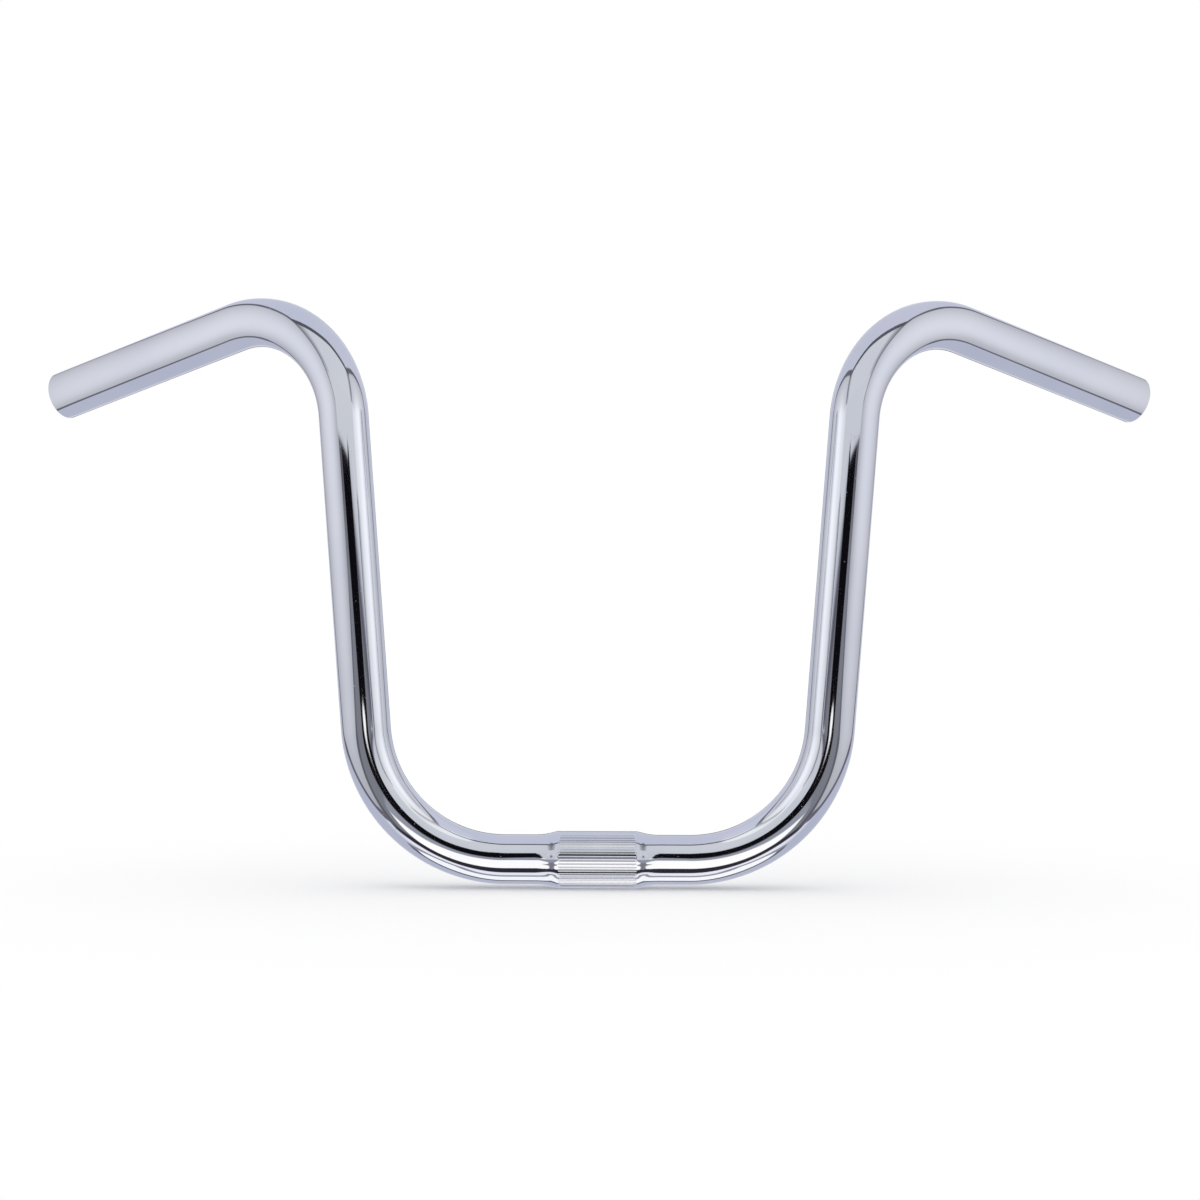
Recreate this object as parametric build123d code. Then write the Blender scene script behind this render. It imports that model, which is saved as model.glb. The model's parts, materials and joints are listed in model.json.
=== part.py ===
"""High-rise handlebar: one bent steel tube with a knurled clamp sleeve brazed round its middle.

Millimetres and degrees. The origin is the middle of the clamp sleeve, X runs along the
clamp towards the right grip, Z is up and Y points back to the rider.
"""
import os
from math import cos, radians, sin, tan

from build123d import *

# Tube
tube_diameter = 22.2
tube_wall = 1.6
end_chamfer = 0.4

# Bends and straights, from the middle out to either end
centre_straight = 82.0
lower_bend_radius = 63.0
arm_rise_angle = 85.7
arm_straight = 140.5
upper_bend_radius = 46.5
grip_drop_angle = 17.5
grip_sweep_angle = 29.0
grip_straight = 106.0

# Clamp sleeve, brazed over the tube; its land stands out to the clamp's diameter
sleeve_stand_out = 1.6
clamp_length = 35.0
sleeve_taper_length = 3.2
sleeve_lip = 0.8
shoulder_radius = 4.0
braze_gap = 0.05

# Knurl: straight grooves along the clamp length
knurl_count = 50
knurl_groove_width = 0.45
knurl_groove_depth = 0.25

# Braze fillets at the sleeve's two feet
fillet_length = 6.4
fillet_hollow = 0.17

tube_radius = tube_diameter / 2
bore_radius = tube_radius - tube_wall
clamp_radius = tube_radius + sleeve_stand_out
lip_radius = tube_radius + braze_gap + sleeve_lip
sleeve_half_length = clamp_length / 2 + sleeve_taper_length


def right_directions():
    """Unit directions of the centre, the right arm and the right grip, each pointing outward."""
    rise, drop, sweep = radians(arm_rise_angle), radians(grip_drop_angle), radians(grip_sweep_angle)
    centre = Vector(1, 0, 0)
    arm = Vector(cos(rise), 0, sin(rise))
    grip = Vector(cos(drop) * cos(sweep), sin(sweep), -sin(drop) * cos(sweep))
    return centre, arm, grip


def bend_reach(radius, before, after):
    """Distance from the corner of two directions to either end of the arc that joins them."""
    return radius * tan(radians(before.get_angle(after)) / 2)


def right_half_path():
    """The tube's centreline from the middle to the right end: straight runs joined by tangent arcs."""
    centre, arm, grip = right_directions()
    lower_reach = bend_reach(lower_bend_radius, centre, arm)
    upper_reach = bend_reach(upper_bend_radius, arm, grip)

    middle = Vector(0, 0, 0)
    lower_start = middle + centre * (centre_straight / 2)
    lower_end = lower_start + centre * lower_reach + arm * lower_reach
    upper_start = lower_end + arm * arm_straight
    upper_end = upper_start + arm * upper_reach + grip * upper_reach
    tip = upper_end + grip * grip_straight

    return [
        Line(middle, lower_start),
        TangentArc(lower_start, lower_end, tangent=centre),
        Line(lower_end, upper_start),
        TangentArc(upper_start, upper_end, tangent=arm),
        Line(upper_end, tip),
    ]


def solid_along(path, radius):
    """A round bar of one radius that follows the path."""
    return sweep(Plane(origin=path @ 0, z_dir=path % 0) * Circle(radius), path=path)


def bar_tube():
    """The whole bent tube, open at both ends, with its end edges broken."""
    right = right_half_path()
    left = [mirror(run, about=Plane.YZ) for run in right]
    path = Wire([edge for run in left + right for edge in run.edges()])
    tube = solid_along(path, tube_radius) - solid_along(path, bore_radius)
    end_edges = [edge for face in tube.faces().filter_by(GeomType.PLANE) for edge in face.edges()]
    return chamfer(end_edges, end_chamfer)


def knurl_grooves():
    """V-shaped cuts along the clamp length, evenly spaced round it."""
    outside = clamp_radius + knurl_groove_depth
    floor = clamp_radius - knurl_groove_depth
    groove = Plane.YZ * Polyline(
        (-knurl_groove_width, outside),
        (knurl_groove_width, outside),
        (0, floor),
        close=True,
    )
    cut = extrude(make_face(groove), amount=sleeve_half_length, both=True)
    return [Rot(X=360 * i / knurl_count) * cut for i in range(knurl_count)]


def clamp_sleeve():
    """The full-diameter clamp land, its rounded shoulders and the tapers down to thin lips."""
    sleeve_bore = tube_radius + braze_gap
    outline = Polyline(
        (-sleeve_half_length, sleeve_bore),
        (-sleeve_half_length, lip_radius),
        (-clamp_length / 2, clamp_radius),
        (clamp_length / 2, clamp_radius),
        (sleeve_half_length, lip_radius),
        (sleeve_half_length, sleeve_bore),
        close=True,
    )
    section = make_face(outline)
    shoulders = [corner for corner in section.vertices() if abs(corner.Y - clamp_radius) < 0.001]
    section = fillet(shoulders, shoulder_radius)
    blank = revolve(section, Axis.X)
    return blank - knurl_grooves()


def braze_fillet(side):
    """The hollow-faced ring of filler between a lip of the sleeve and the tube; side is -1 or 1."""
    inner = side * sleeve_half_length
    outer = side * (sleeve_half_length + fillet_length)
    middle = (inner + outer) / 2
    sagged = (lip_radius + tube_radius) / 2 - fillet_hollow
    section = make_face([
        Line((inner, tube_radius), (inner, lip_radius)),
        ThreePointArc((inner, lip_radius), (middle, sagged), (outer, tube_radius)),
        Line((outer, tube_radius), (inner, tube_radius)),
    ])
    return revolve(section, Axis.X)


def main():
    nodes = {
        "bar_tube": bar_tube(),
        "clamp_sleeve": clamp_sleeve(),
        "braze_fillet_left": braze_fillet(-1),
        "braze_fillet_right": braze_fillet(1),
    }
    os.makedirs("parts", exist_ok=True)
    for name, shape in nodes.items():
        export_step(shape, f"parts/{name}.step")


main()
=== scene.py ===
import json
import math
import bpy
import numpy as np
from mathutils import Matrix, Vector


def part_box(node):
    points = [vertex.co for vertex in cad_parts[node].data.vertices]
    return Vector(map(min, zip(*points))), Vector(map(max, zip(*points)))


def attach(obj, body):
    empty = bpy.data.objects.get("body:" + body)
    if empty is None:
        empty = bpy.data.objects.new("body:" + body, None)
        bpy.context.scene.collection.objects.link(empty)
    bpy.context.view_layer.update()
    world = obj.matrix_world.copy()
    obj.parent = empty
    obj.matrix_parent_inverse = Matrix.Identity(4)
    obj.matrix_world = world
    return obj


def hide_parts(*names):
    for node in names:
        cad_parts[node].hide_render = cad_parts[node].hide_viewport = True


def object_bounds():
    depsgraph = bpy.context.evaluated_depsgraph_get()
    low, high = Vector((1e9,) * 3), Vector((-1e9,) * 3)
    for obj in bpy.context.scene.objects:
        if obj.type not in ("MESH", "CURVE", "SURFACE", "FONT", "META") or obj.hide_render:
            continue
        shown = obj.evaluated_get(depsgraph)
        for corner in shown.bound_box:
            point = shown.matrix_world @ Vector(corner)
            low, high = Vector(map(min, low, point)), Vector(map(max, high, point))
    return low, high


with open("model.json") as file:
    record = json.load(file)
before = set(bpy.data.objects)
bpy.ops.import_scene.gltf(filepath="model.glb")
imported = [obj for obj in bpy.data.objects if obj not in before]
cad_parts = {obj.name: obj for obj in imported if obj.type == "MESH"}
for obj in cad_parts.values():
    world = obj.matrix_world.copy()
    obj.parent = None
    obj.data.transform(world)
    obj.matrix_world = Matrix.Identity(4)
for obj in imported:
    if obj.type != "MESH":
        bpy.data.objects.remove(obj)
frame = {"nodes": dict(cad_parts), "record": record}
cadLow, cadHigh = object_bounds()
mounts = {m["name"]: m for m in frame["record"]["mounts"]}
print("frame loaded:", ", ".join(sorted(frame["nodes"])))


# camera
cameraSet = {
    "place": (0.00073, -1.250, 0.1162),   # level with the arms, straight in front
    "lens": 83.79,
    "roll": 0.23,                         # degrees, the bar's right side sits a hair low
}


def addCamera(values):
    lensData = bpy.data.cameras.new("frontCamera")
    lensData.lens = values["lens"]
    lensData.clip_end = 60
    camera = bpy.data.objects.new("frontCamera", lensData)
    bpy.context.scene.collection.objects.link(camera)
    camera.matrix_world = (Matrix.Translation(values["place"])
                           @ Matrix.Rotation(math.radians(90), 4, "X")
                           @ Matrix.Rotation(math.radians(values["roll"]), 4, "Z"))
    bpy.context.scene.camera = camera


addCamera(cameraSet)
print("camera placed")


# small helpers
def smooth(t):
    t = np.clip(t, 0.0, 1.0)
    return t * t * (3 - 2 * t)


def linear(shade):
    shade = np.asarray(shade, float) / 255
    return np.where(shade <= 0.04045, shade / 12.92, ((shade + 0.055) / 1.055) ** 2.4)


def unit(v):
    return v / np.linalg.norm(v, axis=-1, keepdims=True)


def hermite(x, x0, y0, m0, x1, y1, m1):
    t = (x - x0) / (x1 - x0)
    return ((2 * t**3 - 3 * t**2 + 1) * y0 + (t**3 - 2 * t**2 + t) * (x1 - x0) * m0
            + (3 * t**2 - 2 * t**3) * y1 + (t**3 - t**2) * (x1 - x0) * m1)


def ringMesh(name, rings, straightened, closed, faceSlots=None):
    # rings: (rings, sides, 3); the last ring joins the first when closed
    count, sides = rings.shape[:2]
    i = np.arange(count if closed else count - 1)
    j = np.arange(sides)
    a = i[:, None] * sides + j[None]
    b = i[:, None] * sides + (j[None] + 1) % sides
    c = ((i[:, None] + 1) % count) * sides + (j[None] + 1) % sides
    d = ((i[:, None] + 1) % count) * sides + j[None]
    quads = np.stack([a, b, c, d], -1).reshape(-1, 4)
    mesh = bpy.data.meshes.new(name)
    mesh.from_pydata(rings.reshape(-1, 3).tolist(), [], quads.tolist())
    mesh.polygons.foreach_set("use_smooth", np.ones(len(quads), bool))
    if faceSlots is not None:
        mesh.polygons.foreach_set("material_index", np.repeat(faceSlots, sides).astype(np.int32))
    laid = mesh.attributes.new("straightened", "FLOAT_VECTOR", "POINT")
    laid.data.foreach_set("vector", straightened.astype(np.float32).ravel())
    uv = mesh.uv_layers.new(name="UVMap")
    low, span = straightened[..., 0].min(), np.ptp(straightened[..., 0]) + 1e-9
    along = (straightened[..., 0] - low) / span
    u = np.stack([np.tile(j / sides, (len(i), 1)), np.tile((j + 1) / sides, (len(i), 1))], -1)
    cols = np.stack([u[..., 0], u[..., 1], u[..., 1], u[..., 0]], -1)
    rows = along.ravel()[quads].reshape(len(i), sides, 4)
    uv.data.foreach_set("uv", np.stack([rows, cols], -1).astype(np.float32).ravel())
    mesh.update()
    mesh.validate()
    piece = bpy.data.objects.new(name, mesh)
    bpy.context.scene.collection.objects.link(piece)
    return piece


# the bar's one tube
barTube = {
    "armAngle": 85.7,          # degrees from level
    "lowerBend": 0.063,        # centreline radii
    "upperBend": 0.0465,
    "wall": 0.0016,
    "sides": 128,
    "bendStep": 1.5,           # degrees between rings in a bend
    "straightStep": 0.009,
    "flattening": 0.010,       # a drawn bend is a little thinner in its own plane
    "spreading": 0.004,
    "easeShare": 0.28,         # of a bend's length, over which its section changes
    "rimBreak": 0.0004,        # rounding at the tube's ends
    "weldHeight": 0.00022,     # the inside weld line
    "weldWidth": 7.0,          # degrees
    "weldSide": 205.0,
    "sharpAngle": 50,
}
tubeRadius = mounts["grip_right"]["dims"]["r_mm"] / 1000
gripPlace = np.array(mounts["grip_right"]["pos_m"], float)
gripAxis = unit(np.array(mounts["grip_right"]["axis"], float))
gripLength = mounts["grip_right"]["dims"]["length_mm"] / 1000


def rotateAbout(v, axis, angle):
    c, s = math.cos(angle), math.sin(angle)
    return v * c + np.cross(axis, v) * s + axis * (axis @ v) * (1 - c)


def traceHalf(values):
    # the centreline from the middle to the right tip, with a frame carried along without twist
    rise = math.radians(values["armAngle"])
    arm = np.array([math.cos(rise), 0, math.sin(rise)])
    out = gripAxis if gripAxis[0] > 0 else -gripAxis
    topCorner = gripPlace - out * (gripPlace[1] / out[1])
    lowCorner = topCorner - arm * (topCorner[2] / arm[2])
    tip = gripPlace + out * (gripLength / 2 + values["rimBreak"])
    level = np.array([1.0, 0, 0])
    points, along, bendShare, bendSide, ways, ups = [], [], [], [], [], []
    up = np.array([0, 0, 1.0])
    run = 0.0

    def put(p, s, way, share=0.0, side=None):
        points.append(p)
        along.append(s)
        ways.append(way)
        ups.append(up.copy())
        bendShare.append(share)
        bendSide.append(up if side is None else side)

    def straight(a, b, way, first):
        nonlocal run
        length = np.linalg.norm(b - a)
        steps = max(2, int(round(length / values["straightStep"])))
        for k in range(0 if first else 1, steps + 1):
            put(a + (b - a) * k / steps, run + length * k / steps, way)
        run += length

    def bend(corner, wayIn, wayOut, radius):
        nonlocal run, up
        turn = math.acos(float(wayIn @ wayOut))
        axis = unit(np.cross(wayIn, wayOut))
        start = corner - wayIn * radius * math.tan(turn / 2)
        centre = start + np.cross(axis, wayIn) * radius
        steps = int(round(math.degrees(turn) / values["bendStep"]))
        upStart = up.copy()
        for k in range(1, steps + 1):
            angle = turn * k / steps
            up = rotateAbout(upStart, axis, angle)
            p = centre + rotateAbout(start - centre, axis, angle)
            share = float(smooth(min(k, steps - k) / steps / values["easeShare"]))
            put(p, run + radius * angle, rotateAbout(wayIn, axis, angle), share, unit(centre - p))
        run += radius * turn
        return points[-1]

    turnLow = math.acos(float(level @ arm))
    turnTop = math.acos(float(arm @ out))
    lowStart = lowCorner - level * values["lowerBend"] * math.tan(turnLow / 2)
    straight(np.zeros(3), lowStart, level, True)
    here = bend(lowCorner, level, arm, values["lowerBend"])
    straight(here, topCorner - arm * values["upperBend"] * math.tan(turnTop / 2), arm, False)
    here = bend(topCorner, arm, out, values["upperBend"])
    straight(here, tip - out * values["rimBreak"], out, False)
    return [np.array(x, float) for x in (points, along, bendShare, bendSide, ways, ups)] + [tip, out]


def makeTube(values):
    points, along, share, side, ways, ups, tip, out = traceHalf(values)
    across = np.cross(ways, ups)
    angles = np.arange(values["sides"]) / values["sides"] * 2 * math.pi
    bore = tubeRadius - values["wall"]
    gap = (np.degrees(angles) - values["weldSide"] + 180) % 360 - 180
    weld = values["weldHeight"] * np.exp(-(gap / (values["weldWidth"] / 2)) ** 2)

    def rings(k, radius):
        spoke = (np.cos(angles)[None, :, None] * ups[k][:, None]
                 + np.sin(angles)[None, :, None] * across[k][:, None])
        offset = spoke * np.broadcast_to(radius, (len(k), values["sides"]))[..., None]
        inward = (offset * side[k][:, None]).sum(-1, keepdims=True) * side[k][:, None]
        lengthwise = (offset * ways[k][:, None]).sum(-1, keepdims=True) * ways[k][:, None]
        sideways = offset - inward - lengthwise
        grown = (inward * (1 - values["flattening"] * share[k])[:, None, None]
                 + sideways * (1 + values["spreading"] * share[k])[:, None, None])
        return points[k][:, None] + grown + lengthwise

    def laidOut(s, radius):
        r = np.broadcast_to(radius, (len(s), values["sides"]))
        s = np.broadcast_to(np.asarray(s)[:, None], r.shape)
        return np.stack([s, r * np.cos(angles), r * np.sin(angles)], -1)

    every = np.arange(len(points))
    outer, outerLaid = rings(every, tubeRadius), laidOut(along, tubeRadius)
    inner, innerLaid = rings(every, bore - weld[None]), laidOut(along, bore)
    # the rounded lip at the tip: outside round, flat face, inside round
    rim = values["rimBreak"]
    turns = np.radians(np.linspace(15, 90, 6))
    lip = [(rim * math.sin(a), tubeRadius - rim * (1 - math.cos(a)), 0.0) for a in turns]
    lip += [(rim * math.sin(a), bore + rim * (1 - math.cos(a)), 1 - math.sin(a)) for a in turns[::-1]]
    last = np.array([len(points) - 1])
    lipRings = np.concatenate([rings(last, r - weld[None] * w) + out * d for d, r, w in lip])
    lipLaid = np.concatenate([laidOut([along[-1] + d], r) for d, r, w in lip])
    flip = np.array([-1.0, 1, 1])
    allRings = np.concatenate([outer[:0:-1] * flip, outer, lipRings,
                               inner[:0:-1], inner * flip, (lipRings * flip)[::-1]])
    allLaid = np.concatenate([outerLaid[:0:-1] * flip, outerLaid, lipLaid,
                              innerLaid[:0:-1], innerLaid * flip, (lipLaid * flip)[::-1]])
    n, lips = len(points), len(lip)
    slots = np.zeros(len(allRings), int)
    slots[2 * n - 1 + lips:4 * n - 2 + lips] = 1       # the bore
    piece = ringMesh("bar_tube_body", allRings, allLaid, True, slots)
    piece.data.set_sharp_from_angle(angle=math.radians(values["sharpAngle"]))
    return piece, 2 * float(along[-1] + rim)


tubePiece, tubeLength = makeTube(barTube)
print("tube bent:", round(tubeLength * 1000, 1), "mm long,", len(tubePiece.data.polygons), "faces")


# the knurled clamp sleeve
clampSleeve = {
    "grooves": 50,
    "grooveWidth": 0.00052,
    "grooveDepth": 0.00025,
    "grooveShape": [(-1.3, 0.01), (-1.0, 0.08), (-0.75, 0.32), (-0.4, 0.76), (0.0, 0.96),
                    (0.4, 0.76), (0.75, 0.32), (1.0, 0.08), (1.3, 0.01)],   # half widths, share of depth
    "landLines": (0.00062, 0.000795),    # from a groove's middle to the lines on the land beside it
    "stations": [0, 4, 8, 12, 15, 16, 16.4, 16.6, 16.8, 17.0, 17.2, 17.4, 17.6, 17.9,
                 18.3, 18.7, 19.1, 19.5, 19.9, 20.3],                       # millimetres from the middle
    "grooveEnd": 0.0176,       # where the knurl has run out
    "grooveFull": 0.0164,
    "shoulderStart": 0.0166,   # the land rounds over from here
    "footRadius": 0.01195,
    "footSlope": -0.27,
    "boreRadius": 0.01112,
    "sharpAngle": 60,
}
landRadius = mounts["stem_clamp"]["dims"]["r_mm"] / 1000


def turned(xs, r, angles):
    # rings about the clamp axis, one radius for each ring and side
    return np.stack([np.broadcast_to(xs[:, None], r.shape), -r * np.sin(angles), r * np.cos(angles)], -1)


def laidFlat(rings):
    return np.stack([rings[..., 0], rings[..., 2], -rings[..., 1]], -1)


def makeSleeve(values):
    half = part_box("clamp_sleeve")[1].x
    pitch = 2 * math.pi / values["grooves"]
    # arc lengths across one pitch from the groove's middle, and the share of depth at each
    across, share = zip(*values["grooveShape"])
    near, far = values["landLines"]
    spots = np.concatenate([[-near], values["grooveWidth"] / 2 * np.array(across), [near, far]])
    depth = np.concatenate([[0], share, [0, 0]])
    angles = (np.arange(values["grooves"])[:, None] * pitch + spots[None] / landRadius).ravel()
    depths = np.tile(depth, values["grooves"]) * values["grooveDepth"]
    xs = np.append(np.array(values["stations"]) / 1000, half)
    xs = np.concatenate([-xs[:0:-1], xs])
    away = np.abs(xs)
    start = values["shoulderStart"]
    shoulder = hermite(away, start, landRadius, 0, half, values["footRadius"], values["footSlope"])
    radius = np.where(away > start, shoulder, landRadius)
    fade = smooth((values["grooveEnd"] - away) / (values["grooveEnd"] - values["grooveFull"]))
    r = radius[:, None] - fade[:, None] * depths[None]
    bore = np.full((2, len(angles)), values["boreRadius"])
    rings = np.concatenate([turned(xs, r, angles), turned(np.array([half, -half]), bore, angles)])
    piece = ringMesh("clamp_sleeve_body", rings, laidFlat(rings), True)
    piece.data.set_sharp_from_angle(angle=math.radians(values["sharpAngle"]))
    return piece


sleevePiece = makeSleeve(clampSleeve)
print("sleeve knurled:", clampSleeve["grooves"], "grooves,", len(sleevePiece.data.polygons), "faces")


# the braze runs at the sleeve's feet
brazeRun = {
    "sides": 120,
    "rings": 19,
    "footSlope": -0.27,
    "featherEdge": 0.00002,    # what is left of the braze at its thin end
    "featherSlope": -0.02,
    "ripple": 0.000018,        # how uneven the filler has set
    "swells": [(2, 1.0, 0.5), (5, 1.7, 0.3), (9, -1.0, 0.2)],   # waves round the tube, share of phase, height
    "phase": {"left": 2.9, "right": 0.7},
    "insideRadius": 0.01104,
    "sharpAngle": 40,
}


def makeBraze(values, name):
    low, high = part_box("braze_fillet_" + name)
    near, far = sorted([abs(low.x), abs(high.x)])
    angles = np.arange(values["sides"]) / values["sides"] * 2 * math.pi
    t = 1 - np.cos(np.linspace(0, 1, values["rings"]) * math.pi / 2)
    xs = near + (far - near) * t
    radius = hermite(xs, near, clampSleeve["footRadius"], values["footSlope"],
                     far, tubeRadius + values["featherEdge"], values["featherSlope"])
    phase = values["phase"][name]
    swell = sum(np.sin(waves * angles + k * phase) * height for waves, k, height in values["swells"])
    shape = np.sin(math.pi * np.clip((xs - near) / (far - near), 0, 1)) ** 1.5
    r = radius[:, None] + shape[:, None] * swell[None] * values["ripple"]
    bore = np.full((2, len(angles)), values["insideRadius"])
    rings = np.concatenate([turned(xs, r, angles), turned(np.array([far, near]), bore, angles)])
    laid = laidFlat(rings)
    if name == "left":
        rings, laid = rings[::-1] * [-1, 1, 1], laid[::-1] * [-1, 1, 1]
    piece = ringMesh("braze_run_" + name, rings, laid, True)
    piece.data.set_sharp_from_angle(angle=math.radians(values["sharpAngle"]))
    return piece


brazePieces = [makeBraze(brazeRun, name) for name in ("left", "right")]
print("braze runs laid")


# finishes
chromeTint = (0.82, 0.83, 0.85)


def link(tree, a, b):
    tree.links.new(a, b)


def node(tree, kind, place=(0, 0), **values):
    made = tree.nodes.new(kind)
    made.location = place
    for key, value in values.items():
        setattr(made, key, value)
    return made


def setIn(made, **values):
    for key, value in values.items():
        made.inputs[key].default_value = value
    return made


def newGroup(name, inputs, outputs):
    group = bpy.data.node_groups.new(name, "ShaderNodeTree")
    for label, kind, value in inputs:
        socket = group.interface.new_socket(name=label, in_out="INPUT", socket_type=kind)
        if value is not None:
            socket.default_value = value
    for label, kind in outputs:
        group.interface.new_socket(name=label, in_out="OUTPUT", socket_type=kind)
    return group, node(group, "NodeGroupInput", (-900, 0)), node(group, "NodeGroupOutput", (900, 0))


def mathNode(tree, operation, a, b=None, place=(0, 0), clamp=False):
    made = node(tree, "ShaderNodeMath", place, operation=operation, use_clamp=clamp)
    for k, value in enumerate((a, b)):
        if value is None:
            continue
        if isinstance(value, (int, float)):
            made.inputs[k].default_value = value
        else:
            link(tree, value, made.inputs[k])
    return made.outputs[0]


def rangeNode(tree, value, low, high, toLow=0.0, toHigh=1.0, place=(0, 0)):
    made = node(tree, "ShaderNodeMapRange", place, interpolation_type="SMOOTHSTEP")
    link(tree, value, made.inputs["Value"])
    for key, v in (("From Min", low), ("From Max", high), ("To Min", toLow), ("To Max", toHigh)):
        if isinstance(v, (int, float)):
            made.inputs[key].default_value = v
        else:
            link(tree, v, made.inputs[key])
    return made.outputs["Result"]


def noiseNode(tree, vector, scale, detail=2.0, rough=0.5, place=(0, 0)):
    made = node(tree, "ShaderNodeTexNoise", place)
    link(tree, vector, made.inputs["Vector"])
    for key, v in (("Scale", scale), ("Detail", detail), ("Roughness", rough)):
        if isinstance(v, (int, float)):
            made.inputs[key].default_value = v
        else:
            link(tree, v, made.inputs[key])
    return made.outputs["Fac"]


def buildPolishLines():
    # fine lines left along the tube by the polishing belts, in metres in, height 0..1 out
    group, a, b = newGroup("polishLines",
                           [("Position", "NodeSocketVector", None), ("Lines", "NodeSocketFloat", 900.0),
                            ("Stretch", "NodeSocketFloat", 0.03)],
                           [("Height", "NodeSocketFloat")])
    parts = node(group, "ShaderNodeSeparateXYZ", (-700, 0))
    link(group, a.outputs["Position"], parts.inputs[0])
    short = mathNode(group, "MULTIPLY", parts.outputs[0], a.outputs["Stretch"], (-520, 100))
    packed = node(group, "ShaderNodeCombineXYZ", (-350, 0))
    link(group, short, packed.inputs[0])
    link(group, parts.outputs[1], packed.inputs[1])
    link(group, parts.outputs[2], packed.inputs[2])
    fine = noiseNode(group, packed.outputs[0], a.outputs["Lines"], 3.0, 0.6, (-150, 100))
    broadScale = mathNode(group, "MULTIPLY", a.outputs["Lines"], 0.22, (-350, -200))
    broad = noiseNode(group, packed.outputs[0], broadScale, 2.0, 0.5, (-150, -150))
    finePart = mathNode(group, "MULTIPLY", fine, 0.45, (50, 100))
    broadPart = mathNode(group, "MULTIPLY", broad, 0.55, (50, -100))
    link(group, mathNode(group, "ADD", finePart, broadPart, (250, 0)), b.inputs["Height"])
    return group


def buildHandling():
    # soft smudges and specks of dust from being picked up and put down
    group, a, b = newGroup("handlingMarks",
                           [("Position", "NodeSocketVector", None), ("Size", "NodeSocketFloat", 40.0),
                            ("Cover", "NodeSocketFloat", 0.45)],
                           [("Smudge", "NodeSocketFloat"), ("Dust", "NodeSocketFloat")])
    cloud = noiseNode(group, a.outputs["Position"], a.outputs["Size"], 4.0, 0.55, (-500, 150))
    spread = mathNode(group, "MULTIPLY", a.outputs["Cover"], 0.6, (-700, -50))
    start = mathNode(group, "SUBTRACT", 0.85, spread, (-520, -50))
    end = mathNode(group, "ADD", start, 0.18, (-350, -120))
    smudge = rangeNode(group, cloud, start, end, place=(-150, 150))
    streakScale = mathNode(group, "MULTIPLY", a.outputs["Size"], 9.0, (-700, -300))
    streak = noiseNode(group, a.outputs["Position"], streakScale, 5.0, 0.65, (-500, -300))
    wiped = rangeNode(group, streak, 0.30, 0.66, 0.35, 1.0, (-150, -250))
    link(group, mathNode(group, "MULTIPLY", smudge, wiped, (150, 100)), b.inputs["Smudge"])
    speck = node(group, "ShaderNodeTexVoronoi", (-500, -550))
    link(group, a.outputs["Position"], speck.inputs["Vector"])
    speck.inputs["Scale"].default_value = 420.0
    few = noiseNode(group, a.outputs["Position"], 900.0, 1.0, 0.5, (-500, -800))
    dot = rangeNode(group, speck.outputs["Distance"], 0.16, 0.08, place=(-250, -550))
    kept = rangeNode(group, few, 0.58, 0.64, place=(-250, -800))
    link(group, mathNode(group, "MULTIPLY", dot, kept, (0, -600)), b.inputs["Dust"])
    return group


def buildPlatingTone():
    # plate colour drifts a little between blue-grey and neutral, and its gloss with it
    group, a, b = newGroup("platingTone",
                           [("Position", "NodeSocketVector", None),
                            ("Deep", "NodeSocketColor", (0.78, 0.80, 0.83, 1)),
                            ("Bright", "NodeSocketColor", (0.84, 0.845, 0.86, 1)),
                            ("Worn", "NodeSocketFloat", 0.0)],
                           [("Color", "NodeSocketColor"), ("Cloud", "NodeSocketFloat")])
    cloud = noiseNode(group, a.outputs["Position"], 26.0, 3.0, 0.5, (-500, 100))
    share = rangeNode(group, cloud, 0.32, 0.68, place=(-250, 100))
    tone = node(group, "ShaderNodeMix", (100, 100), data_type="RGBA")
    link(group, share, tone.inputs["Factor"])
    link(group, a.outputs["Deep"], tone.inputs["A"])
    link(group, a.outputs["Bright"], tone.inputs["B"])
    nickel = node(group, "ShaderNodeMix", (400, 100), data_type="RGBA")
    nickel.inputs["B"].default_value = (0.66, 0.62, 0.54, 1)
    link(group, a.outputs["Worn"], nickel.inputs["Factor"])
    link(group, tone.outputs["Result"], nickel.inputs["A"])
    link(group, nickel.outputs["Result"], b.inputs["Color"])
    link(group, share, b.inputs["Cloud"])
    return group


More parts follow.
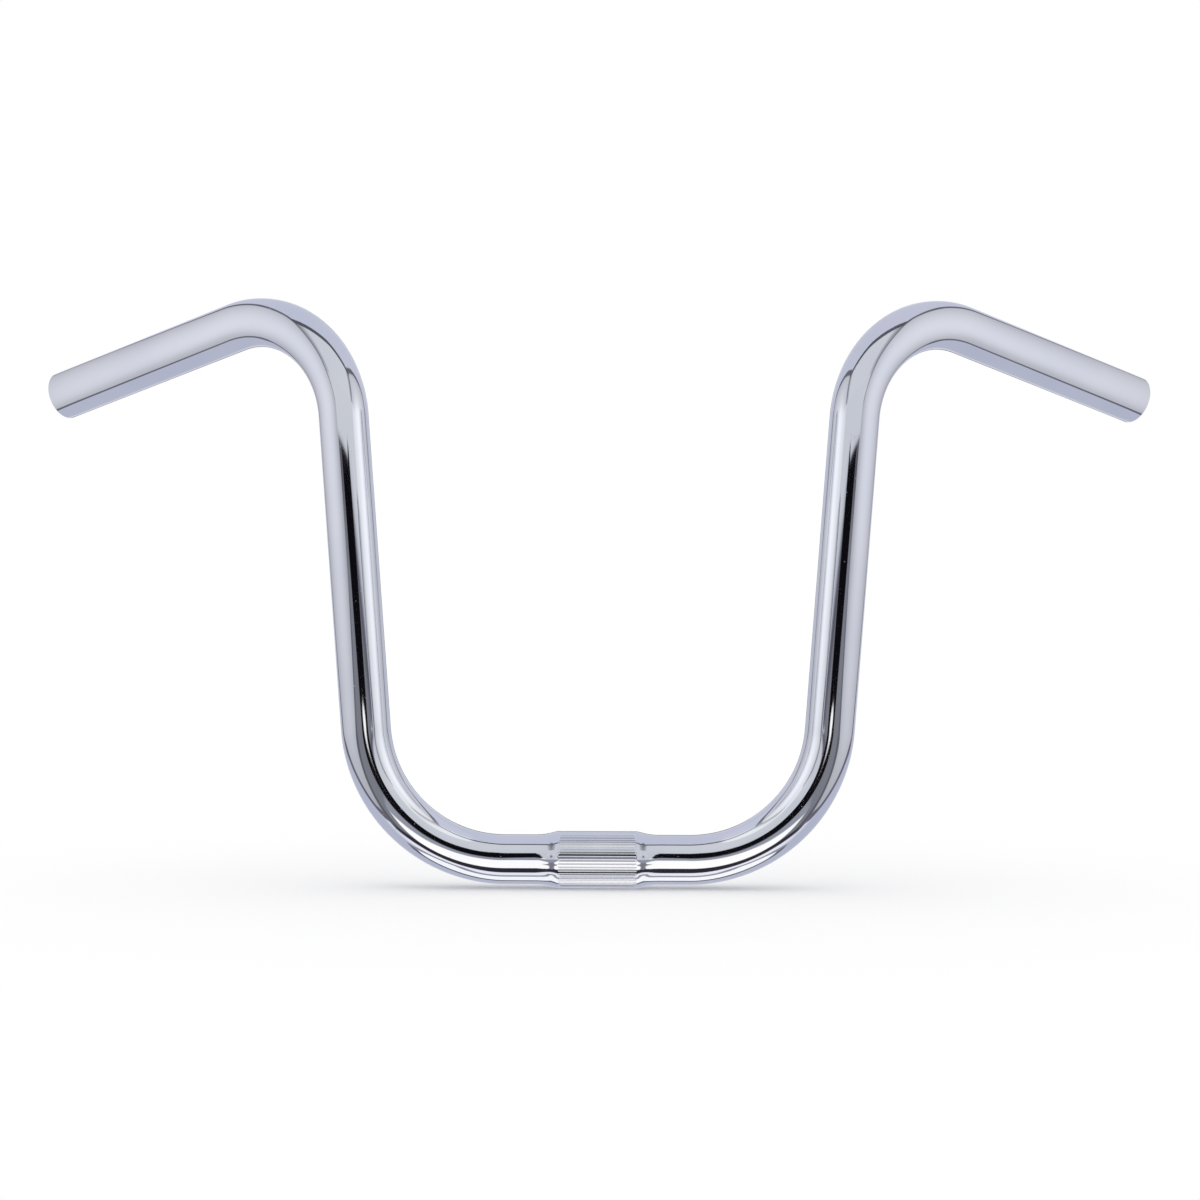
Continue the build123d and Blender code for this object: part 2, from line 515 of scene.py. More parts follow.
def buildScuffs():
    # short hairline scratches that wander across the lengthwise lines
    group, a, b = newGroup("scuffs",
                           [("Position", "NodeSocketVector", None), ("Scale", "NodeSocketFloat", 160.0),
                            ("Amount", "NodeSocketFloat", 0.5)],
                           [("Mask", "NodeSocketFloat")])
    wander = node(group, "ShaderNodeTexNoise", (-700, 200))
    wander.inputs["Scale"].default_value = 55.0
    link(group, a.outputs["Position"], wander.inputs["Vector"])
    bent = node(group, "ShaderNodeMix", (-500, 100), data_type="VECTOR")
    bent.inputs["Factor"].default_value = 0.012
    link(group, a.outputs["Position"], bent.inputs["A"])
    link(group, wander.outputs["Color"], bent.inputs["B"])
    cells = node(group, "ShaderNodeTexVoronoi", (-300, 100), feature="DISTANCE_TO_EDGE")
    link(group, bent.outputs["Result"], cells.inputs["Vector"])
    link(group, a.outputs["Scale"], cells.inputs["Scale"])
    hair = rangeNode(group, cells.outputs["Distance"], 0.012, 0.003, place=(-50, 100))
    patch = noiseNode(group, a.outputs["Position"], 70.0, 2.0, 0.5, (-300, -200))
    spread = mathNode(group, "MULTIPLY", a.outputs["Amount"], 0.3, (-500, -400))
    low = mathNode(group, "SUBTRACT", 0.74, spread, (-300, -400))
    high = mathNode(group, "ADD", low, 0.08, (-120, -400))
    kept = rangeNode(group, patch, low, high, place=(-50, -200))
    link(group, mathNode(group, "MULTIPLY", hair, kept, (250, 0)), b.inputs["Mask"])
    return group


polishLines, handlingMarks = buildPolishLines(), buildHandling()
platingTone, scuffs = buildPlatingTone(), buildScuffs()


def useGroup(tree, group, place, **values):
    made = node(tree, "ShaderNodeGroup", place, node_tree=group)
    for key, value in values.items():
        made.inputs[key].default_value = value
    return made


def newMaterial(name):
    material = bpy.data.materials.new(name)
    material.use_nodes = True
    tree = material.node_tree
    tree.nodes.clear()
    out = node(tree, "ShaderNodeOutputMaterial", (900, 0))
    shader = node(tree, "ShaderNodeBsdfPrincipled", (600, 0))
    link(tree, shader.outputs[0], out.inputs["Surface"])
    laid = node(tree, "ShaderNodeAttribute", (-900, 0), attribute_name="straightened")
    return material, tree, shader, laid.outputs["Vector"]


chromeFinish = {
    "tube": {"gloss": 0.042, "satin": 0.13, "lines": 950.0,
             "wave": 0.0000045, "smudge": 0.30, "scuff": 0.35},
    "sleeve": {"gloss": 0.07, "satin": 0.18, "lines": 1300.0,
               "wave": 0.0000030, "smudge": 0.42, "scuff": 0.60},
    "braze": {"gloss": 0.07, "satin": 0.17, "lines": 700.0,
              "wave": 0.0000090, "smudge": 0.45, "scuff": 0.30},
}
chromeWear = {     # the same on all three
    "lineStretch": 0.035,
    "lineDepth": 0.0000008,
    "smudgeSize": 38.0,
    "scuffScale": 150.0,
    "scuffDepth": 0.0000012,
    "scuffHaze": 0.12,         # roughness added in a scratch, a speck of dust and a cloud in the plate
    "dustHaze": 0.25,
    "cloudHaze": 0.018,
    "wearThrough": 0.35,       # how much nickel shows in a scratch
    "waveScale": 150.0,
    "deeper": (-0.025, -0.02, -0.01),
    "brighter": (0.015, 0.01, 0.005),
}


def shiftedTint(shift):
    return (*(c + s for c, s in zip(chromeTint, shift)), 1)


def bumpNode(tree, height, distance, place, under=None, invert=False, strength=1.0):
    made = node(tree, "ShaderNodeBump", place, invert=invert)
    setIn(made, Strength=strength, Distance=distance)
    link(tree, height, made.inputs["Height"])
    if under is not None:
        link(tree, under, made.inputs["Normal"])
    return made.outputs["Normal"]


def chromeMaterial(name, values, wear=chromeWear):
    material, tree, shader, laid = newMaterial(name)
    lines = useGroup(tree, polishLines, (-600, 250), Lines=values["lines"], Stretch=wear["lineStretch"])
    marks = useGroup(tree, handlingMarks, (-600, 0), Size=wear["smudgeSize"], Cover=values["smudge"])
    hair = useGroup(tree, scuffs, (-600, -250), Scale=wear["scuffScale"], Amount=values["scuff"])
    tone = useGroup(tree, platingTone, (-300, 400),
                    Deep=shiftedTint(wear["deeper"]), Bright=shiftedTint(wear["brighter"]))
    for made in (lines, marks, hair, tone):
        link(tree, laid, made.inputs["Position"])
    worn = mathNode(tree, "MULTIPLY", hair.outputs["Mask"], wear["wearThrough"], (-450, 500))
    link(tree, worn, tone.inputs["Worn"])
    link(tree, tone.outputs["Color"], shader.inputs["Base Color"])
    shader.inputs["Metallic"].default_value = 1.0
    # gloss: mirror plate, dulled by smudges, dust and the scratch edges
    haze = mathNode(tree, "MULTIPLY", marks.outputs["Smudge"], values["satin"] - values["gloss"], (-300, 50))
    cloudy = mathNode(tree, "MULTIPLY", tone.outputs["Cloud"], wear["cloudHaze"], (-300, -50))
    scratched = mathNode(tree, "MULTIPLY", hair.outputs["Mask"], wear["scuffHaze"], (50, -80))
    dusty = mathNode(tree, "MULTIPLY", marks.outputs["Dust"], wear["dustHaze"], (200, -80))
    rough = mathNode(tree, "ADD", mathNode(tree, "ADD", haze, cloudy, (-100, 50)), values["gloss"], (50, 50))
    rough = mathNode(tree, "ADD", mathNode(tree, "ADD", rough, scratched, (200, 50)), dusty, (350, 50))
    link(tree, rough, shader.inputs["Roughness"])
    # relief: belt lines, a slow waviness in the plate, scratches
    lineBump = bumpNode(tree, lines.outputs["Height"], wear["lineDepth"], (100, -300))
    waves = noiseNode(tree, laid, wear["waveScale"], 1.0, 0.4, (-300, -450))
    waveBump = bumpNode(tree, waves, values["wave"], (250, -350), under=lineBump)
    hairBump = bumpNode(tree, hair.outputs["Mask"], wear["scuffDepth"], (400, -400),
                        under=waveBump, invert=True)
    link(tree, hairBump, shader.inputs["Normal"])
    return material


boreFinish = {
    "plateReach": 0.016,       # how far the plate has thrown into the bore, from the tip
    "raggedness": 0.010,
    "steel": (0.20, 0.19, 0.18, 1),
    "rust": (0.16, 0.075, 0.035, 1),
    "rustSpots": 210.0,
    "rustHeight": 0.6,
    "rustDulls": 0.8,          # how far a rust spot is from bare metal
    "steelGloss": 0.55,
    "plateGloss": 0.16,
    "relief": 0.00003,
}


def boreMaterial(values, halfLength):
    # bright just inside the tips, then dull drawn steel with a little rust
    material, tree, shader, laid = newMaterial("boreSteel")
    parts = node(tree, "ShaderNodeSeparateXYZ", (-750, 200))
    link(tree, laid, parts.inputs[0])
    fromMiddle = mathNode(tree, "ABSOLUTE", parts.outputs[0], None, (-600, 200))
    fromTip = mathNode(tree, "SUBTRACT", halfLength, fromMiddle, (-450, 200))
    edgeNoise = noiseNode(tree, laid, 160.0, 3.0, 0.6, (-600, 0))
    ragged = mathNode(tree, "MULTIPLY", edgeNoise, values["raggedness"], (-400, 0))
    plate = rangeNode(tree, mathNode(tree, "ADD", fromTip, ragged, (-300, 200)),
                      values["plateReach"], values["plateReach"] * 0.4, place=(-150, 200))
    lines = useGroup(tree, polishLines, (-600, -250), Lines=700.0, Stretch=0.02)
    link(tree, laid, lines.inputs["Position"])
    rustNoise = noiseNode(tree, laid, values["rustSpots"], 5.0, 0.65, (-600, -450))
    spots = rangeNode(tree, rustNoise, 0.53, 0.66, place=(-350, -450))
    steel = node(tree, "ShaderNodeMix", (0, 0), data_type="RGBA")
    steel.inputs["A"].default_value, steel.inputs["B"].default_value = values["steel"], values["rust"]
    link(tree, spots, steel.inputs["Factor"])
    whole = node(tree, "ShaderNodeMix", (250, 100), data_type="RGBA")
    whole.inputs["B"].default_value = (*chromeTint, 1)
    link(tree, plate, whole.inputs["Factor"])
    link(tree, steel.outputs["Result"], whole.inputs["A"])
    link(tree, whole.outputs["Result"], shader.inputs["Base Color"])
    bare = mathNode(tree, "SUBTRACT", 1.0, plate, (0, -150))
    rusted = mathNode(tree, "MULTIPLY", bare, spots, (150, -150))
    dulled = mathNode(tree, "MULTIPLY", rusted, values["rustDulls"], (300, -150))
    link(tree, mathNode(tree, "SUBTRACT", 1.0, dulled, (450, -150)), shader.inputs["Metallic"])
    rough = rangeNode(tree, plate, 0.0, 1.0, values["steelGloss"], values["plateGloss"], (300, -250))
    link(tree, rough, shader.inputs["Roughness"])
    crust = mathNode(tree, "MULTIPLY", spots, values["rustHeight"], (-100, -400))
    height = mathNode(tree, "ADD", lines.outputs["Height"], crust, (100, -400))
    link(tree, bumpNode(tree, height, values["relief"], (300, -400), strength=0.8), shader.inputs["Normal"])
    return material


tubeChrome = chromeMaterial("chromeTube", chromeFinish["tube"])
sleeveChrome = chromeMaterial("chromeSleeve", chromeFinish["sleeve"])
brazeChrome = chromeMaterial("chromeBraze", chromeFinish["braze"])
boreSteel = boreMaterial(boreFinish, tubeLength / 2)
tubePiece.data.materials.append(tubeChrome)
tubePiece.data.materials.append(boreSteel)
sleevePiece.data.materials.append(sleeveChrome)
for piece in brazePieces:
    piece.data.materials.append(brazeChrome)

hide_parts("bar_tube")
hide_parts("clamp_sleeve")
for piece, name in zip(brazePieces, ("left", "right")):
    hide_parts("braze_fillet_" + name)
for piece in (tubePiece, sleevePiece, *brazePieces):
    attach(piece, "root")
print("chrome and bore steel on")


# floor, daylight and lamp
studioSet = {
    "floorColor": (0.955, 0.955, 0.96, 1),
    "fadeStart": 0.10,         # the floor runs out to plain white between these radii
    "fadeEnd": 0.38,
    "dayStrength": 0.93,
    "lampWatts": 6.0,
    "lampSize": 2.2,
    "lampPlace": (0.0, -0.25, 2.1),
    "floorReach": 6,           # metres from the middle to the floor's edge
    "floorSquares": 12,
}


def buildFloor(values):
    z = cadLow.z
    squares = values["floorSquares"]
    ticks = np.linspace(-values["floorReach"], values["floorReach"], squares + 1)
    verts = [(x, y, z) for y in ticks for x in ticks]
    corners = [r * (squares + 1) + c for r in range(squares) for c in range(squares)]
    faces = [(k, k + 1, k + squares + 2, k + squares + 1) for k in corners]
    mesh = bpy.data.meshes.new("studioFloor")
    mesh.from_pydata(verts, [], faces)
    floor = bpy.data.objects.new("studioFloor", mesh)
    bpy.context.scene.collection.objects.link(floor)
    floor.visible_glossy = False
    material = bpy.data.materials.new("paperFloor")
    material.use_nodes = True
    tree = material.node_tree
    tree.nodes.clear()
    out = node(tree, "ShaderNodeOutputMaterial", (800, 0))
    paper = node(tree, "ShaderNodeBsdfPrincipled", (200, -150))
    setIn(paper, Roughness=0.95)
    paper.inputs["Base Color"].default_value = values["floorColor"]
    paper.inputs["Specular IOR Level"].default_value = 0.0
    place = node(tree, "ShaderNodeTexCoord", (-700, 0))
    flat = node(tree, "ShaderNodeVectorMath", (-500, 0), operation="LENGTH")
    link(tree, place.outputs["Object"], flat.inputs[0])
    fade = rangeNode(tree, flat.outputs["Value"], values["fadeStart"], values["fadeEnd"], place=(-300, 0))
    seen = node(tree, "ShaderNodeLightPath", (-300, 250))
    both = mathNode(tree, "MULTIPLY", fade, seen.outputs["Is Camera Ray"], (0, 150))
    glow = node(tree, "ShaderNodeEmission", (200, 100))
    setIn(glow, Strength=1.0)
    mixed = node(tree, "ShaderNodeMixShader", (550, 0))
    link(tree, both, mixed.inputs[0])
    link(tree, paper.outputs[0], mixed.inputs[1])
    link(tree, glow.outputs[0], mixed.inputs[2])
    link(tree, mixed.outputs[0], out.inputs["Surface"])
    mesh.materials.append(material)


def buildDaylight(values):
    world = bpy.data.worlds.new("studioWorld")
    bpy.context.scene.world = world
    world.use_nodes = True
    tree = world.node_tree
    tree.nodes.clear()
    out = node(tree, "ShaderNodeOutputWorld", (600, 0))
    seen = node(tree, "ShaderNodeLightPath", (-300, 200))
    through = mathNode(tree, "MAXIMUM", seen.outputs["Is Glossy Ray"],
                       seen.outputs["Is Transmission Ray"], (-100, 150))
    either = mathNode(tree, "MAXIMUM", seen.outputs["Is Camera Ray"], through, (100, 200))
    day = node(tree, "ShaderNodeBackground", (100, -100))
    setIn(day, Strength=values["dayStrength"])
    white = node(tree, "ShaderNodeBackground", (100, 0))
    day.inputs["Color"].default_value = white.inputs["Color"].default_value = (1, 1, 1, 1)
    mixed = node(tree, "ShaderNodeMixShader", (400, 0))
    link(tree, either, mixed.inputs[0])
    link(tree, day.outputs[0], mixed.inputs[1])
    link(tree, white.outputs[0], mixed.inputs[2])
    link(tree, mixed.outputs[0], out.inputs["Surface"])


def buildLamp(values):
    lampData = bpy.data.lights.new("overheadLamp", "AREA")
    lampData.shape = "DISK"
    lampData.size = values["lampSize"]
    lampData.energy = values["lampWatts"]
    lamp = bpy.data.objects.new("overheadLamp", lampData)
    lamp.location = values["lampPlace"]
    lamp.visible_glossy = False
    bpy.context.scene.collection.objects.link(lamp)


buildFloor(studioSet)
buildDaylight(studioSet)
buildLamp(studioSet)
print("floor, daylight and lamp set")


# what the chrome mirrors: glowing sheets that paint its reflections, laid out as a tent of cloth round the
# bar, open to a dim room in front no lamp lights them and they light nothing; only mirrored rays meet these;
# shades are 0..255 as they look in the chrome
piping = (98, 98, 110)
sideCloth = {      # outlines are (y, z) here, and places are in metres throughout
    "bow": [(-0.5, 0.2), (-0.3, 0.31), (0, 0.43), (0.25, 0.37),
            (0.5, 0.29), (0.7, 0.22), (1, 0.1)],      # height, distance sideways
    "outline": [(-0.175, 0.535), (-0.1, 0.547), (0.07, 0.5), (0.235, 0.415), (0.285, 0.365),
                (0.29, 0.29), (0.38, 0.2), (0.36, 0.11), (0.28, 0.045), (0.19, -0.01),
                (0.11, -0.035), (0.04, -0.075), (-0.1, -0.18), (-0.2, -0.205), (-0.36, 0),
                (-0.58, 0.1), (-0.6, 0.15), (-0.57, 0.235), (-0.46, 0.29), (-0.39, 0.345),
                (-0.35, 0.41)],
    "heights": (-0.24, 0.59), "depths": (-0.64, 0.43), "square": 0.005,
    "pipingHalf": 0.021,
    "poolMiddle": (-0.10, 0.24), "poolReach": 0.33,   # the pool of light on the cloth
    "poolShade": 220, "dimShade": 160,
    "tint": (0.973, 0.987, 1.04),
}
upperCloth = {
    "seam": [(0, -0.085, 0.555), (0.1, -0.098, 0.553), (0.2, -0.107, 0.55), (0.29, -0.118, 0.547)],
    "profile": [(-0.175, 0.535), (-0.35, 0.41), (-0.39, 0.345), (-0.46, 0.29), (-0.61, 0.215)],
    "pipingHalf": 0.055,
    "sideShade": 0.30,            # painted shade: how much it darkens beside the side cloths
    "sideShadeReach": 0.30,
    "sideShadeDepth": (-0.46, 0.12),  # where that starts from the front, and over what length
    "opening": (0.25, -0.40),   # cut away nearer the middle and further forward than this
    "openingEdge": 0.01,
    "shade": (199, 203, 212),
}
floorSheet = {
    "z": -0.48, "shade": (245, 247, 253),
    "half": [(0, 0.188), (0.091, 0.179), (0.15, 0.16), (0.22, 0.125), (0.371, 0.08), (0.41, 0.035),
             (0.44, -0.03), (0.428, -0.081), (0.371, -0.164), (0.318, -0.195), (0.268, -0.21),
             (0.221, -0.21), (0.176, -0.147), (0.132, -0.117), (0.09, -0.105), (0, -0.104)],
    "depths": (-0.26, 0.23), "widths": (-0.58, 0.581), "square": 0.005,
    "pipingHalf": 0.034,
    "frontPiping": (140, 141, 155),
}
backPiping = 0.85           # the piping overhead and at the back, against the side cloths'
cards = [      # upright cards in front of the bar, below and above the open front
    {"name": "greyCard", "y": -0.15, "shade": (142, 146, 160),
     "half": [(0, 0.038), (0.033, 0.036), (0.044, 0.031), (0.058, 0.018), (0.081, 0.008),
              (0.12, 0.01), (0.166, -0.03), (0.166, -0.037), (0.104, -0.024), (0.082, -0.016),
              (0.044, 0.005), (0, 0.005)]},
    {"name": "whiteCard", "y": -0.152, "shade": (253, 253, 255),
     "half": [(0, 0.007), (0.043, 0.007), (0.09, -0.018), (0.09, -0.034), (0.08, -0.04), (0, -0.04)]},
    {"name": "apron", "y": -0.305, "shade": (197, 201, 210),
     "half": [(0, 0.33), (0.27, 0.33), (0.27, 0.2), (0.06, 0.2), (0.045, 0.21), (0, 0.21)]},
]
cardGrid = {"heights": (-0.12, 0.36, 0.003), "widths": (-0.28, 0.281, 0.004), "edge": 0.005}
# a painted glint: a small glowing oval that shows in the arms
glintCard = {"name": "glintCard", "y": -0.309, "shade": (250, 250, 254),
            "middle": (0.099, 0.0515), "half": (0.030, 0.0092)}
# painted highlight on the arms' inner sides
veil = {
    "y": (-0.125, 0.09), "z": (0.03, 0.27), "shade": (127, 129, 127),
    "fadeBelow": 0.04, "fadeAbove": 0.06, "fadeEnds": 0.03,
    "thinBehind": (-0.028, 0.012, 0.62),    # from here back, over this length, by this share
}
farScreen = {"radius": 14.0, "turns": 481, "rises": 241}
surround = {       # pale lavender all round, greyer overhead, lighter low in front
    "level": (177, 181, 201), "overhead": (188, 192, 211),
    "lowBehind": (175, 180, 200), "lowInFront": (232, 234, 244),
}
farShapes = {      # drawn in order on the far screen: half outlines in degrees sideways and up
    "upperCloth": {"shade": (193, 198, 208), "soft": 3.0,
                   "half": [(0, 60), (50, 55), (44, 34), (38, 20), (36, 8), (36, 2), (0, 2)]},
    "room": {"shade": (118, 121, 130), "soft": 2.5,
             "half": [(0, 12), (13, 5), (18, 3.6), (33, 2.6), (37, 1.4), (42, -5), (46, -15),
                      (50, -22), (58, -32), (60, -42), (42, -46), (12, -57.5), (0, -59.5)]},
    "roomEdge": {"shade": (80, 80, 90), "soft": 3.0, "ring": True,
                 "half": [(40, -3), (44, -8), (52, -22), (60, -32), (62, -42), (46, -44),
                          (43, -24), (40, -14), (36, -6)]},
    "darkRail": {"shade": (72, 72, 82), "soft": 1.3, "ring": True,
                 "half": [(15, 4.2), (33, 2.4), (37.5, 1.2), (38, -3), (35.5, -3), (33, 0.6), (18, 1.9)]},
    "black": {"shade": (13, 12, 17), "soft": 0.8,
              "half": [(0, 36), (8.2, 28), (14, 12.8), (15, 6), (16.5, 3.5), (16, 1.5),
                       (11, -5.5), (0, -6.2)]},
    "underBlack": {"shade": (42, 40, 52), "soft": 1.4,
                   "half": [(0, -35), (14.8, -35.6), (30, -34), (52, -38), (57, -40.2),
                            (41.9, -45), (12, -56.5), (0, -58.5)]},
    "whiteFan": {"shade": (254, 254, 255), "soft": 1.2,
                 "half": [(0, -6.5), (3.5, -7), (10.3, -13.9), (18.3, -18.1), (27.6, -20.8),
                          (30.4, -27.6), (29.8, -34), (22.1, -36), (14.8, -36.6), (0, -36)]},
}
rearShapes = {     # the same for the far screen behind the bar
    "lightPanel": {"shade": (204, 207, 220), "soft": 6.0,
                   "half": [(0, 27), (18, 24), (25, 10), (25, -10), (18, -24), (0, -27)]},
    "greyPanel": {"shade": (128, 130, 140), "soft": 2.5,
                  "half": [(0, 9), (12, 7), (17, 1), (15, -9), (9, -12), (0, -13)]},
    "darkPanel": {"shade": (44, 43, 50), "soft": 1.5,
                  "half": [(0, 17), (5, 15), (7, 7), (7, -2), (5, -7), (0, -8)]},
}


def outlineDepth(pts, outline):
    # distance to the outline, negative inside
    p = pts.reshape(-1, 2)
    near, inside = np.full(len(p), 1e9), np.zeros(len(p), bool)
    for a, b in zip(outline, np.roll(outline, -1, 0)):
        e, w = b - a, p - a
        t = np.clip((w @ e) / max(e @ e, 1e-12), 0, 1)
        q = w - t[:, None] * e
        near = np.minimum(near, np.hypot(q[:, 0], q[:, 1]))
        crosses = (a[1] <= p[:, 1]) != (b[1] <= p[:, 1])
        inside ^= crosses & (p[:, 0] < a[0] + (p[:, 1] - a[1]) / (b[1] - a[1] + 1e-12) * (b[0] - a[0]))
    return np.where(inside, -near, near).reshape(pts.shape[:-1])


def wholeOutline(half):
    half = np.array(half, float)
    return np.vstack([half, half[::-1] * [-1, 1]])


def blend(under, over, share):
    return under * (1 - share) + np.array(over, float) * share


def surroundShade(rays):
    up, back = rays[..., 2], rays[..., 1]
    level, lowBehind = np.array(surround["level"], float), np.array(surround["lowBehind"], float)
    shade = blend(level, surround["overhead"], smooth((up + 0.1) / 0.5)[..., None])
    low, front = smooth((-up - 0.2) / 0.6)[..., None], smooth((-back - 0.05) / 0.35)[..., None]
    return blend(shade, blend(lowBehind, surround["lowInFront"], front), low)


def paintShapes(shade, shapes, sideways, upward):
    for shape in shapes.values():
        if shape.get("ring"):      # a closed outline of its own on either side
            at, outline = np.abs(sideways), np.array(shape["half"], float)
        else:
            at, outline = sideways, wholeOutline(shape["half"])
        depth = outlineDepth(np.stack([at, upward], -1), outline)
        shade = blend(shade, shape["shade"], smooth(0.5 - depth / shape["soft"] / 2)[..., None])
    return shade


def farShade(rays):
    forward = np.degrees(np.arctan2(rays[..., 0], -rays[..., 1]))
    backward = np.degrees(np.arctan2(rays[..., 0], rays[..., 1]))
    upward = np.degrees(np.arcsin(np.clip(rays[..., 2], -1, 1)))
    shade = paintShapes(surroundShade(rays), rearShapes, backward, upward)
    return paintShapes(shade, farShapes, forward, upward)


def poolShade(p, cloth):
    away = ((p - np.array(cloth["poolMiddle"])) ** 2).sum(-1) / cloth["poolReach"] ** 2
    return cloth["dimShade"] + (cloth["poolShade"] - cloth["dimShade"]) * np.exp(-away)


# the glow of the painted reflection sheets, seen only in the chrome
def tentMaterial(name, added):
    material = bpy.data.materials.new(name)
    material.use_nodes = True
    material.cycles.emission_sampling = "NONE"
    tree = material.node_tree
    tree.nodes.clear()
    out = node(tree, "ShaderNodeOutputMaterial", (600, 0))
    shade = node(tree, "ShaderNodeAttribute", (-300, 0), attribute_name="shade")
    glow = node(tree, "ShaderNodeEmission", (0, 0))
    link(tree, shade.outputs["Color"], glow.inputs["Color"])
    clear = node(tree, "ShaderNodeBsdfTransparent", (0, 150))
    if added:      # a veil only adds its light to what lies behind
        mixed = node(tree, "ShaderNodeAddShader", (300, 0))
    else:
        mixed = node(tree, "ShaderNodeMixShader", (300, 0))
        link(tree, shade.outputs["Alpha"], mixed.inputs[0])
    link(tree, clear.outputs[0], mixed.inputs[-2])
    link(tree, glow.outputs[0], mixed.inputs[-1])
    link(tree, mixed.outputs[0], out.inputs["Surface"])
    return material


paintedReflectionGlow, paintedSheenVeil = tentMaterial("paintedReflectionGlow", False), tentMaterial("paintedSheenVeil", True)


def hangSheet(name, grid, shade, cover, cloth=paintedReflectionGlow):
    # grid: (rows, columns, 3) points; only the covered squares become faces
    rows, cols = grid.shape[:2]
    i, j = np.meshgrid(np.arange(rows - 1), np.arange(cols - 1), indexing="ij")
    a = i * cols + j
    quads = np.stack([a, a + 1, a + cols + 1, a + cols], -1).reshape(-1, 4)
    flatCover = cover.ravel()
    quads = quads[flatCover[quads].max(1) > 0]
    mesh = bpy.data.meshes.new(name)
    mesh.from_pydata(grid.reshape(-1, 3).tolist(), [], quads.tolist())
    colors = np.ones((rows * cols, 4), np.float32)
    colors[:, :3] = (linear(shade) / np.array(chromeTint)).reshape(-1, 3)
    colors[:, 3] = flatCover
    mesh.color_attributes.new("shade", "FLOAT_COLOR", "POINT").data.foreach_set("color", colors.ravel())
    mesh.materials.append(cloth)
    sheet = bpy.data.objects.new(name, mesh)
    bpy.context.scene.collection.objects.link(sheet)
    sheet.visible_camera = sheet.visible_diffuse = sheet.visible_transmission = False
    sheet.visible_shadow = sheet.visible_volume_scatter = False


def piped(base, depth, half, color=piping):
    # a round piping laid along the sheet's edge
    edge = smooth((depth + half) / 0.010 + 0.5)[..., None]
    return blend(base, color, edge), smooth(0.5 - (depth - half) / 0.006)


def bowAt(z):
    heights, reach = zip(*sideCloth["bow"])
    return np.interp(z, heights, reach)


def plain(shade, like):
    return np.broadcast_to(np.array(shade, float), like.shape + (3,))


def squareGrid(rows, cols):
    return np.meshgrid(np.arange(*rows), np.arange(*cols), indexing="ij")


def hangFarScreen(values):
    turn = np.radians(np.linspace(-180, 180, values["turns"]))
    rise = np.radians(np.linspace(-90, 90, values["rises"]))
    rise, turn = np.meshgrid(rise, turn, indexing="ij")
    rays = np.stack([np.sin(turn) * np.cos(rise), -np.cos(turn) * np.cos(rise), np.sin(rise)], -1)
    hangSheet("farScreen", rays * values["radius"], farShade(rays), np.ones(rays.shape[:2]))


def hangSideCloth(name, side, values):
    z, y = squareGrid((*values["heights"], values["square"]), (*values["depths"], values["square"]))
    p = np.stack([y, z], -1)
    depth = outlineDepth(p, np.array(values["outline"], float))
    base = poolShade(p, values)[..., None] * np.array(values["tint"])
    grid = np.stack([side * bowAt(z), y, z], -1)
    hangSheet(name, grid, *piped(base, depth, values["pipingHalf"]))


def hangUpperCloth(values):
    # from its seam above the bar it leads forward and down along the profile
    across = np.linspace(-1, 1, 80)
    profile = np.array(values["profile"])
    rows = [np.linspace(a, b, 20, endpoint=False) for a, b in zip(profile, profile[1:])]
    rows = np.vstack(rows + [profile[-1:]])
    places, seamY, seamZ = zip(*values["seam"])
    lead = np.linspace(0, 1, 24, endpoint=False)[:, None]
    x0 = np.abs(across) * bowAt(profile[0, 1])
    topY = np.interp(x0, places, seamY)[None] * (1 - lead) + profile[0, 0] * lead
    topZ = np.interp(x0, places, seamZ)[None] * (1 - lead) + profile[0, 1] * lead
    y = np.vstack([topY, np.repeat(rows[:, :1], len(across), 1)])
    z = np.vstack([topZ, np.repeat(rows[:, 1:], len(across), 1)])
    x = across[None] * bowAt(z)
    fromSeam = np.hypot(y - topY[:1], z - topZ[:1])
    nearMiddle, forward = values["opening"]
    edge = values["openingEdge"]
    cover = 1 - smooth((nearMiddle - np.abs(x)) / edge) * smooth((forward - y) / edge)
    fromSide = smooth((1 - np.abs(across)) / values["sideShadeReach"])
    front, length = values["sideShadeDepth"]
    # painted shade along the upper cloth's sides, beside the side cloths
    dim = 1 - values["sideShade"] * (1 - fromSide)[None] * smooth((y - front) / length)
    base = plain(values["shade"], x) * dim[..., None]
    trim = np.array(piping) * backPiping
    shades, _ = piped(base, -fromSeam, values["pipingHalf"], trim)
    hangSheet("upperCloth", np.stack([x, y, z], -1), shades, cover)


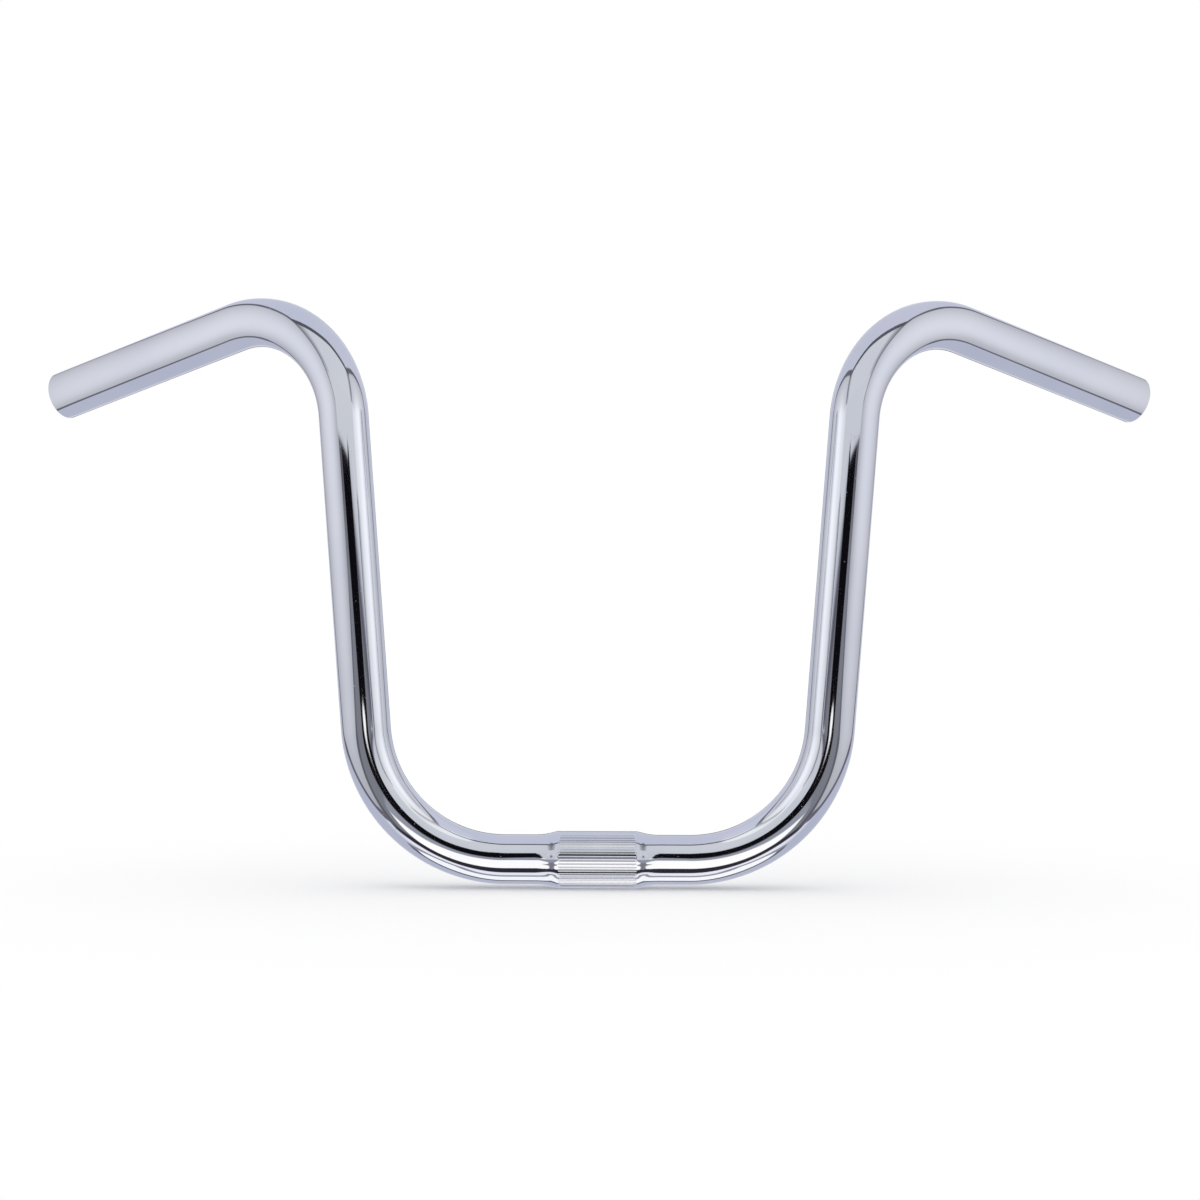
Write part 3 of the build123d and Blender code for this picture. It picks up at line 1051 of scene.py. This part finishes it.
def hangFloorSheet(values):
    y, x = squareGrid((*values["depths"], values["square"]), (*values["widths"], values["square"]))
    depth = outlineDepth(np.stack([x, y], -1), wholeOutline(values["half"]))
    toBack = smooth((y + 0.05) / 0.06)[..., None]
    trim = blend(np.array(values["frontPiping"], float), np.array(piping) * backPiping, toBack)
    grid = np.stack([x, y, np.full_like(x, values["z"])], -1)
    hangSheet("floorSheet", grid, *piped(plain(values["shade"], x), depth, values["pipingHalf"], trim))


def hangCards():
    z, x = squareGrid(cardGrid["heights"], cardGrid["widths"])
    for card in cards:
        depth = outlineDepth(np.stack([x, z], -1), wholeOutline(card["half"]))
        grid = np.stack([x, np.full_like(x, card["y"]), z], -1)
        hangSheet(card["name"], grid, plain(card["shade"], x), smooth(0.5 - depth / cardGrid["edge"]))
    # one small glowing oval on either side, which paints the bright glint low in the arms
    middle, half = glintCard["middle"], glintCard["half"]
    oval = np.hypot((np.abs(x) - middle[0]) / half[0], (z - middle[1]) / half[1])
    grid = np.stack([x, np.full_like(x, glintCard["y"]), z], -1)
    hangSheet(glintCard["name"], grid, plain(glintCard["shade"], x), smooth((1.25 - oval) / 0.5))


def hangVeil(values):
    # painted highlight: a glowing veil in the middle that only the arms' inner sides look through, adding
    # light to their reflections there
    z, y = np.meshgrid(np.linspace(*values["z"], 40), np.linspace(*values["y"], 30), indexing="ij")
    low, high = values["z"]
    rise = smooth((z - low) / values["fadeBelow"]) * smooth((high - z) / values["fadeAbove"])
    front, back = values["y"]
    reach = smooth((y - front) / values["fadeEnds"]) * smooth((back - y) / values["fadeEnds"])
    start, length, share = values["thinBehind"]
    thin = 1 - share * smooth((y - start) / length)
    light = plain(values["shade"], y) * (rise * reach * thin)[..., None]
    hangSheet("veil", np.stack([np.zeros_like(y), y, z], -1), light, np.ones(y.shape), paintedSheenVeil)


hangFarScreen(farScreen)
hangSideCloth("sideClothLeft", -1, sideCloth)
hangSideCloth("sideClothRight", 1, sideCloth)
hangUpperCloth(upperCloth)
hangFloorSheet(floorSheet)
hangCards()
hangVeil(veil)
print("tent hung")

scene = bpy.context.scene
scene.view_settings.view_transform = "Standard"
print("done")
